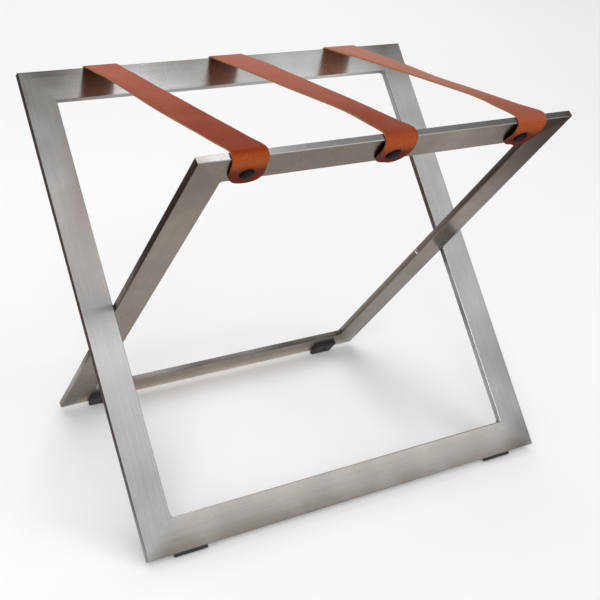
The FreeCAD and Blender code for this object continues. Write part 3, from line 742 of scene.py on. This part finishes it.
# %% [markdown]
# ## From a line to leather
#
# A Curve object with a flat profile would follow the route, but every strap lies in its own way.
# So at every station a ring of points goes round the leather: its face, its back and two softly
# rounded cut edges. The ring narrows to a blunt rounded end at both ends. Between the bars the
# two edges rise and fall by themselves, a few millimetres each, because no strap lies dead flat.
# Each strap also drifts a little to one side and stands off the front bar by its own amount.
# Near the button the leather is pressed back to the bar, and its edges stay proud of it.

# %% How each strap lies
# How far the left and right edges stand above the straight span, from rear to front, in mm
EDGE_LIFT = {
    "left": ((3.0, 2.2, 0.2, -0.2, 0.4), (0.6, 0.0, 0.4, 0.3, 0.4)),
    "middle": ((2.6, 3.6, 4.2, 5.4, 5.6), (3.4, 3.0, 2.7, 2.6, 1.6)),
    "right": ((3.2, 5.0, 6.0, 6.8, 6.6), (0.6, -0.4, -2.2, -1.2, -0.8)),
}
# How far each strap lies off its place sideways, in mm: at the rear, at the front bend, at the end
SIDE_DRIFT = {"left": (3.0, -5.0, 3.5), "middle": (0.5, -2.0, 0.5), "right": (0.3, 1.0, 1.0)}
# The share of its width that each strap has at the rear
REAR_SHARE = {"left": 0.92, "middle": 0.98, "right": 1.0}
# The share of the bend's stand from the front bar that each strap keeps
STAND_KEPT = {"left": 0.25, "middle": 0.82, "right": 0.85}
# How blunt a rounded end is (2 is a half circle), and how narrow it gets
END_FULLNESS = 2.5
END_HALF_WIDTH = 1.2 * MM
# The sampling step of the curve through an edge's heights, as a share of the span
EDGE_STEP = 0.02


def lift_along(values, share):
    """Smooth height of an edge at a share (0 to 1) of the span, nothing at its ends."""
    shares = np.linspace(0, 1, len(values) + 2)
    heights = np.array([0.0, *values, 0.0]) * MM
    curve = catmull_rom(np.column_stack([shares, heights]), EDGE_STEP)
    return float(np.interp(share, curve[:, 0], curve[:, 1]))


def span_share(y):
    """How far a place is from the rear bar to the front one, from 0 to 1."""
    edge = top_corner[0]
    return float(np.clip((edge - y) / (2 * edge), 0, 1))


def half_width(from_end, share, rear_share):
    """Half the strap's width, tapered along the span and rounded at both ends."""
    rear_width = STRAP_REAR_WIDTH * rear_share
    full = (rear_width + (STRAP_FRONT_WIDTH - rear_width) * share) / 2
    if from_end >= full:
        return full
    lost = ((full - from_end) / full) ** END_FULLNESS
    return max(full * (1 - lost) ** (1 / END_FULLNESS), END_HALF_WIDTH)


print("middle strap's left edge at half span", round(lift_along(EDGE_LIFT["middle"][0], 0.5), 4))

# %% Pressed in and drifting
# How far from a button's middle its pull has halved, and how fast it fades there
HOLD_REACH = 1.35 * BUTTON_RADIUS
HOLD_FADE = 1.5 * MM


def press_in(place, across, kept):
    """How far the button pulls the leather back towards the front bar at this place."""
    y, z = place
    drop = TOP + y * math.sin(LEAN) - (z - pivot.z) * math.cos(LEAN)
    if y > 0 or drop < 0:
        return 0.0
    reach = math.hypot(across, drop - FRONT_BUTTON_DROP)
    edge_stand = kept * (np.interp(drop / MM, *zip(*FRONT_BEND)) * MM - LIE)
    hold = 1 / (1 + math.exp((reach - HOLD_REACH) / HOLD_FADE))
    return max(edge_stand, 0.0) * hold


def side_drift(from_front, share, drift):
    """How far the leather lies off its place sideways, here between rear, bend and end."""
    at_rear, at_bend, at_end = drift
    past_bend = max(1 - from_front / FRONT_REACH, 0.0)
    return (at_rear + (at_bend - at_rear) * share + (at_end - at_bend) * past_bend) * MM


print("pull halves", round(HOLD_REACH, 4), "from a button's middle")

# %% A ring round the leather
ACROSS = 25
EDGE_ROUND = 0.55 * MM
# Halfway round an edge: how far in, in roundings, and how far up, in half thicknesses
SHOULDER_IN, SHOULDER_UP = 0.3, 0.72
GRAIN_SLOT, EDGE_SLOT, FLESH_SLOT = 0, 1, 2
# The material slot of every column of faces round the ring: face, edge, back, edge
COLUMN_SLOTS = (
    [GRAIN_SLOT] * ACROSS
    + [EDGE_SLOT] * 2
    + [FLESH_SLOT] * (ACROSS + 1)
    + [EDGE_SLOT] * 2
    + [GRAIN_SLOT]
)


def section(half):
    """The outline of the leather across the strap: face, edge, back, edge."""
    thick = STRAP_THICKNESS / 2
    inner = half - min(EDGE_ROUND, half / 2)
    shoulder, soft = half - EDGE_ROUND * SHOULDER_IN, thick * SHOULDER_UP
    xs = np.linspace(-inner, inner, ACROSS)
    outline = [(x, thick) for x in xs]
    outline += [(shoulder, soft), (half, 0.0), (shoulder, -soft)]
    outline += [(x, -thick) for x in xs[::-1]]
    outline += [(-shoulder, -soft), (-half, 0.0), (-shoulder, soft)]
    return outline


def ring(name, from_rear, from_front, place, normal):
    """The points round one strap's leather at one station, its outer face first."""
    y, z = place
    share = span_share(y)
    half = half_width(min(from_rear, from_front), share, REAR_SHARE[name])
    left, right = (lift_along(values, share) for values in EDGE_LIFT[name])
    sideways = side_drift(from_front, share, SIDE_DRIFT[name])
    made = []
    for x, out in section(half):
        rise = left + (right - left) * (x / half + 1) / 2
        stand = out - press_in(place, x + sideways, STAND_KEPT[name])
        made.append((x + sideways, y + normal[0] * stand, z + normal[1] * stand + rise))
    return made


print("points in a ring", len(section(STRAP_FRONT_WIDTH / 2)), "columns", len(COLUMN_SLOTS))

# %% Stations along the leather
END_STATIONS = 12
TANGENT_STEP = 0.2 * MM


def stations(run):
    """Places along the route, closer together where the ends are rounded."""
    closing = 1 - np.cos(np.linspace(0, math.pi / 2, END_STATIONS))
    early = STRAP_REAR_WIDTH / 2 * closing
    late = run[-1] - STRAP_FRONT_WIDTH / 2 * closing
    middle = run[(run > early[-1]) & (run < late[-1])]
    return np.unique(np.concatenate([early, middle, late]))


def on_route(route, run, along):
    """The places at the given distances along the route."""
    return np.column_stack([np.interp(along, run, route[:, i]) for i in (0, 1)])


def face_normals(route, run, along):
    """The route's outward normal at each station."""
    before, after = (on_route(route, run, along + step) for step in (-TANGENT_STEP, TANGENT_STEP))
    tangent = after - before
    tangent /= np.linalg.norm(tangent, axis=1)[:, None]
    return np.column_stack([tangent[:, 1], -tangent[:, 0]])


def cut_size(name):
    """One strap's cut as it would lie flat: its widest, its length and its area."""
    route, run = strap_route(STAND_KEPT[name])
    along = stations(run)
    shares = [span_share(y) for y, _ in on_route(route, run, along)]
    from_end = np.minimum(along, run[-1] - along)
    halves = np.array([half_width(*place, REAR_SHARE[name]) for place in zip(from_end, shares)])
    area = np.sum(np.diff(along) * (halves[1:] + halves[:-1]))
    return 2 * float(halves.max()), float(run[-1]), float(area)


print("left strap's cut", [round(measure, 4) for measure in cut_size("left")])

# %% Strap meshes


def make_strap(name, centre):
    """One strap as a closed mesh: grain face, cut edges and flesh side as material slots."""
    route, run = strap_route(STAND_KEPT[name])
    along = stations(run)
    places, normals = on_route(route, run, along), face_normals(route, run, along)
    mesh = bmesh.new()
    rings, cut_places = [], []
    for distance, place, normal in zip(along, places, normals):
        from_front = run[-1] - distance
        loop = ring(name, distance, from_front, place, normal)
        rings.append([mesh.verts.new((x + centre, y, z)) for x, y, z in loop])
        cut_places.extend((x + centre, from_front) for x, _, _ in loop)
    for first, second in zip(rings, rings[1:]):
        for i, slot in enumerate(COLUMN_SLOTS):
            j = (i + 1) % len(COLUMN_SLOTS)
            face = mesh.faces.new((first[i], first[j], second[j], second[i]))
            face.material_index = slot
            face.smooth = True
    for loop in (rings[0], rings[-1]):
        cap = mesh.faces.new(loop)
        cap.material_index = EDGE_SLOT
    bmesh.ops.recalc_face_normals(mesh, faces=mesh.faces)
    mesh.verts.index_update()
    flat_map = mesh.loops.layers.uv.new("cut_leather")
    for face in mesh.faces:
        for corner in face.loops:
            corner[flat_map].uv = cut_places[corner.vert.index]
    data = bpy.data.meshes.new(f"{name}_strap_leather")
    mesh.to_mesh(data)
    mesh.free()
    strap = bpy.data.objects.new(f"{name}_strap_leather", data)
    bpy.context.scene.collection.objects.link(strap)
    return strap


straps = {
    name: make_strap(name, place)
    for name, place in (("left", -STRAP_PITCH), ("middle", 0.0), ("right", STRAP_PITCH))
}
print("strap faces", [len(s.data.polygons) for s in straps.values()])

# %% [markdown]
# ## Leather
#
# Smooth dyed leather has a very fine grain, soft cloudy patches of dye and a dull sheen. Where
# it bends hard over the front bar the dye opens up and turns orange. Painted shade darkens the end
# below, and the front end of the cut edges and the flesh side. A painted sheen makes each strap
# lighter to the rear than at its deeper, redder front. A pattern in the piece's own space would
# slide as the rack folds, so all of it is drawn on a UV map in metres: the flat cut piece, from
# its front end back. The three straps lie on that map side by side, as on the hide that they were
# cut from, and the painted sheen is paler to one side. The cut edges and the flesh side, which is
# the back, are undyed: lighter, tan and dull.

# %% Leather colours
# The rear and pale colours hold a painted sheen, which the front colour lacks
LEATHER_REAR_SHEEN = (0.362, 0.096, 0.052, 1)
LEATHER_PALE_SHEEN = (0.39, 0.160, 0.112, 1)
LEATHER_FRONT = (0.200, 0.024, 0.003, 1)
LEATHER_BEND = (0.285, 0.052, 0.009, 1)
LEATHER_OPENED = (0.50, 0.15, 0.045, 1)
# Painted shade on the end below the bend
LEATHER_END_SHADE = (0.105, 0.010, 0.002, 1)
EDGE_COLOUR = (0.36, 0.18, 0.09, 1)
FLESH_COLOUR = (0.52, 0.20, 0.10, 1)
# Painted shade on the front end of the cut edges and the flesh side
FRONT_SHADE_COLOUR = (0.13, 0.045, 0.022, 1)
# From where to where a colour takes over, measured along the leather from its front end: the
# painted sheen fading out, the opened bend, and the painted shade on the end
SHEEN_FADING = (420 * MM, 85 * MM)
BENT = (54 * MM, 42 * MM)
SHADED_END = (40 * MM, 20 * MM)
# From where to where across the hide a painted sheen makes it paler
PALE_SHEEN_ACROSS = (-100 * MM, 250 * MM)


def on_leather(tree):
    """The flat piece's own space, the place across the hide and the distance from the end."""
    flat = tree.nodes.new("ShaderNodeUVMap")
    flat.uv_map = "cut_leather"
    parts = tree.nodes.new("ShaderNodeSeparateXYZ")
    tree.links.new(flat.outputs["UV"], parts.inputs["Vector"])
    return flat.outputs["UV"], parts.outputs["X"], parts.outputs["Y"]


# The colour deepens towards the front as the painted sheen fades
print("dye deepens from", SHEEN_FADING[0], "to", SHEEN_FADING[1], "and opens from", BENT[0], "to", BENT[1])

# %% Dyed leather
LEATHER_ROUGHNESS = 0.50
# Clouds of dye: the noise, the part of its range that shows, and how much they deepen the colour
DYE_CLOUDS, DYE_RANGE, DYE_SHARE = (30.0, 4.0), (0.35, 0.65), 0.16
# Where the colour is this deep the painted sheen of the pale side starts to go, and this much
# of it is left in the end
PALE_SHEEN_GOES, PALE_SHEEN_LEFT = (0.6, 1.0), 0.45
# Opened dye on the bend: the noise, the part of its range that shows, and how much it shows
OPENINGS, OPENING_RANGE, OPENING_SHARE = (800.0, 1.0), (0.48, 0.72), 0.6
PORES = 1100.0
PORE_BUMP, PORE_DEPTH = 0.15, 0.2 * MM


def dyed(tree, space, across, from_end):
    """Dye clouds and a painted sheen: paler to one side, deeper and redder to the front."""
    cloud = noise(tree, space, *DYE_CLOUDS)
    clouds = remap(tree, cloud, *DYE_RANGE, 0.0, DYE_SHARE, smooth=True)
    # Painted sheen: lighter to the rear, fading out towards the front
    forward = remap(tree, from_end, *SHEEN_FADING, 0.0, 1.0)
    colour = mix_colour(tree, math_of(tree, "ADD", forward, clouds), LEATHER_REAR_SHEEN, LEATHER_FRONT)
    # Painted sheen, paler to one side of the hide
    pale = remap(tree, across, *PALE_SHEEN_ACROSS, 0.0, 1.0)
    kept = remap(tree, forward, *PALE_SHEEN_GOES, 1.0, PALE_SHEEN_LEFT)
    return mix_colour(tree, math_of(tree, "MULTIPLY", pale, kept), colour, LEATHER_PALE_SHEEN)


def leather():
    """Dyed leather with a fine grain, drawn on the flat piece that the strap was cut from."""
    material, tree, shader = new_material("strap_leather", LEATHER_REAR_SHEEN, LEATHER_ROUGHNESS)
    space, across, from_end = on_leather(tree)
    colour = dyed(tree, space, across, from_end)
    bent = remap(tree, from_end, *BENT, 0.0, 1.0, smooth=True)
    colour = mix_colour(tree, bent, colour, LEATHER_BEND)
    opened = remap(tree, noise(tree, space, *OPENINGS), *OPENING_RANGE, 0.0, OPENING_SHARE)
    colour = mix_colour(tree, math_of(tree, "MULTIPLY", opened, bent), colour, LEATHER_OPENED)
    # Painted shade darkens the end below the bend
    end_shade = remap(tree, from_end, *SHADED_END, 0.0, 1.0, smooth=True)
    colour = mix_colour(tree, end_shade, colour, LEATHER_END_SHADE)
    tree.links.new(colour, shader.inputs["Base Color"])
    pores = node_of(tree, "ShaderNodeTexVoronoi", Scale=PORES)
    tree.links.new(space, pores.inputs["Vector"])
    bumped(tree, shader, pores.outputs["Distance"], PORE_BUMP, PORE_DEPTH)
    shader.inputs["Specular IOR Level"].default_value = DULL_SPECULAR
    return material


strap_leather = leather()
print("dyed", strap_leather.name, "with", len(strap_leather.node_tree.nodes), "nodes")

# %% Undyed leather
RAW_ROUGHNESS, RAW_SPECULAR = 0.8, 0.10
FIBRES, FIBRE_SHARE = (700.0, 3.0), 0.35
# How much painted shade the front end of the undyed leather gets
FRONT_SHADE_SHARE = 0.8


def raw_leather(name, colour):
    """Undyed fibres, with painted shade at the front end: the cut edges or the flesh side."""
    material, tree, shader = new_material(name, colour, RAW_ROUGHNESS)
    space, _, from_end = on_leather(tree)
    fibre = remap(tree, noise(tree, space, *FIBRES), *NOISE_RANGE, 0.0, FIBRE_SHARE)
    front_shade = remap(tree, from_end, *BENT, 0.0, FRONT_SHADE_SHARE)
    share = math_of(tree, "ADD", fibre, front_shade)
    tree.links.new(mix_colour(tree, share, colour, FRONT_SHADE_COLOUR), shader.inputs["Base Color"])
    shader.inputs["Specular IOR Level"].default_value = RAW_SPECULAR
    return material


strap_edge = raw_leather("strap_cut_edge", EDGE_COLOUR)
strap_flesh = raw_leather("strap_flesh_side", FLESH_COLOUR)
for strap in straps.values():
    for material in (strap_leather, strap_edge, strap_flesh):
        strap.data.materials.append(material)
print("leather on", list(straps), "in slots", [m.name for m in strap.data.materials])

# %% [markdown]
# ## Button heads
#
# Six equal screws hold the straps, three on each top bar. Each head could be a squashed sphere,
# but a real one has a short straight rim, a rounded shoulder and a nearly flat top. So one is
# drawn as half a section and spun round, and Geometry Nodes put it on three evenly spaced
# points, so that the count and spacing stay numbers that can be changed.

# %% One button
# Half a section, in mm: (from the axis, up from the leather), from the shank's foot to the crown
BUTTON_PROFILE = (
    (0.0, -7.0),
    (2.5, -7.0),
    (2.5, 0.0),
    (8.3, 0.0),
    (8.6, 0.25),
    (8.6, 1.0),
    (8.35, 1.7),
    (7.6, 2.3),
    (6.2, 2.7),
    (3.6, 2.92),
    (0.0, 3.0),
)
BUTTON_SIDES = 40
WELD_DISTANCE = 1e-6


def make_button():
    """One button-head screw standing on the origin, its head up."""
    mesh = bmesh.new()
    line = [mesh.verts.new((r * MM, 0, h * MM)) for r, h in BUTTON_PROFILE]
    edges = [mesh.edges.new(pair) for pair in zip(line, line[1:])]
    bmesh.ops.spin(
        mesh,
        geom=line + edges,
        cent=(0, 0, 0),
        axis=(0, 0, 1),
        angle=2 * math.pi,
        steps=BUTTON_SIDES,
    )
    bmesh.ops.remove_doubles(mesh, verts=mesh.verts, dist=WELD_DISTANCE)
    bmesh.ops.recalc_face_normals(mesh, faces=mesh.faces)
    for face in mesh.faces:
        face.smooth = True
    data = bpy.data.meshes.new("button")
    mesh.to_mesh(data)
    mesh.free()
    return bpy.data.objects.new("button", data)


button = make_button()
print("faces of one button", len(button.data.polygons))

# %% A row on a bar


def row_tree(name, item, material):
    """A node tree that sets copies of an object on evenly spaced points along X."""
    tree = bpy.data.node_groups.new(name, "GeometryNodeTree")
    tree.interface.new_socket("Geometry", in_out="INPUT", socket_type="NodeSocketGeometry")
    count = tree.interface.new_socket("Count", in_out="INPUT", socket_type="NodeSocketInt")
    pitch = tree.interface.new_socket("Pitch", in_out="INPUT", socket_type="NodeSocketFloat")
    tree.interface.new_socket("Geometry", in_out="OUTPUT", socket_type="NodeSocketGeometry")
    start = tree.nodes.new("NodeGroupInput")
    end = tree.nodes.new("NodeGroupOutput")
    step = tree.nodes.new("ShaderNodeCombineXYZ")
    line = tree.nodes.new("GeometryNodeMeshLine")
    info = tree.nodes.new("GeometryNodeObjectInfo")
    info.inputs["Object"].default_value = item
    place = tree.nodes.new("GeometryNodeInstanceOnPoints")
    real = tree.nodes.new("GeometryNodeRealizeInstances")
    paint = tree.nodes.new("GeometryNodeSetMaterial")
    paint.inputs["Material"].default_value = material
    tree.links.new(start.outputs["Count"], line.inputs["Count"])
    tree.links.new(start.outputs["Pitch"], step.inputs["X"])
    tree.links.new(step.outputs["Vector"], line.inputs["Offset"])
    tree.links.new(line.outputs["Mesh"], place.inputs["Points"])
    tree.links.new(info.outputs["Geometry"], place.inputs["Instance"])
    tree.links.new(place.outputs["Instances"], real.inputs["Geometry"])
    tree.links.new(real.outputs["Geometry"], paint.inputs["Geometry"])
    tree.links.new(paint.outputs["Geometry"], end.inputs["Geometry"])
    return tree, {"Count": count.identifier, "Pitch": pitch.identifier}


def plain_mesh(name, holder, place):
    """The evaluated result of a holder's modifiers as a mesh of its own, put in its place."""
    bpy.context.view_layer.update()
    evaluated = holder.evaluated_get(bpy.context.evaluated_depsgraph_get())
    data = bpy.data.meshes.new_from_object(evaluated)
    data.transform(place)
    data.name = name
    piece = bpy.data.objects.new(name, data)
    bpy.context.scene.collection.objects.link(piece)
    bpy.data.objects.remove(holder)
    return piece


def make_row(name, item, material, count, pitch, place):
    """A row of copies made by Geometry Nodes, as one plain mesh."""
    tree, sockets = row_tree(f"{name}_row", item, material)
    holder = bpy.data.objects.new(f"{name}_holder", bpy.data.meshes.new(f"{name}_holder"))
    bpy.context.scene.collection.objects.link(holder)
    modifier = holder.modifiers.new("row", "NODES")
    modifier.node_group = tree
    modifier[sockets["Count"]] = count
    modifier[sockets["Pitch"]] = pitch
    return plain_mesh(name, holder, place)


print("a row is", STRAP_PITCH, "from button to button")

# %% Buttons in place
BUTTONS_ON_A_BAR = 3
BUTTON_DROPS = {REAR: REAR_BUTTON_DROP, FRONT: FRONT_BUTTON_DROP}


def button_place(side):
    """Where the first button of a bar stands: its foot on the leather, its head out of it."""
    seat = BAR_FACE + STRAP_CLEARANCE + STRAP_THICKNESS
    y, z = beside(side, seat, TOP - BUTTON_DROPS[side])
    lean_over = Matrix.Rotation(-side * (math.pi / 2 + LEAN), 4, "X")
    return Matrix.Translation((-STRAP_PITCH, y, z)) @ lean_over


buttons = {}
for side, label in ((REAR, "rear"), (FRONT, "front")):
    buttons[label] = make_row(
        f"{label}_buttons", button, button_black, BUTTONS_ON_A_BAR, STRAP_PITCH, button_place(side)
    )
bpy.data.objects.remove(button)
print("button faces", [len(b.data.polygons) for b in buttons.values()])

# %% [markdown]
# ## What moves with what
#
# The buttons ride on the frame that they are screwed to. Real straps go slack and hang in loops
# as the rack folds. A simulation could show how. Here each strap stays one fixed mesh, its place
# baked into its points, and the solids' own straps and buttons are hidden.

# %% Ride, and hide the solids' straps and buttons
for label, body in (("rear", "outer_frame"), ("front", "inner_frame")):
    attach(buttons[label], body)
    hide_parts(f"{label}_strap_buttons")
for name, strap in straps.items():
    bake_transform(strap)
    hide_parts(f"{name}_strap")

# %% [markdown]
# ## Finish
#
# The dressed rack has to stay the size of the solids. The colours are shown through the Standard
# view transform.

# %% Finish
bpy.context.scene.view_settings.view_transform = "Standard"
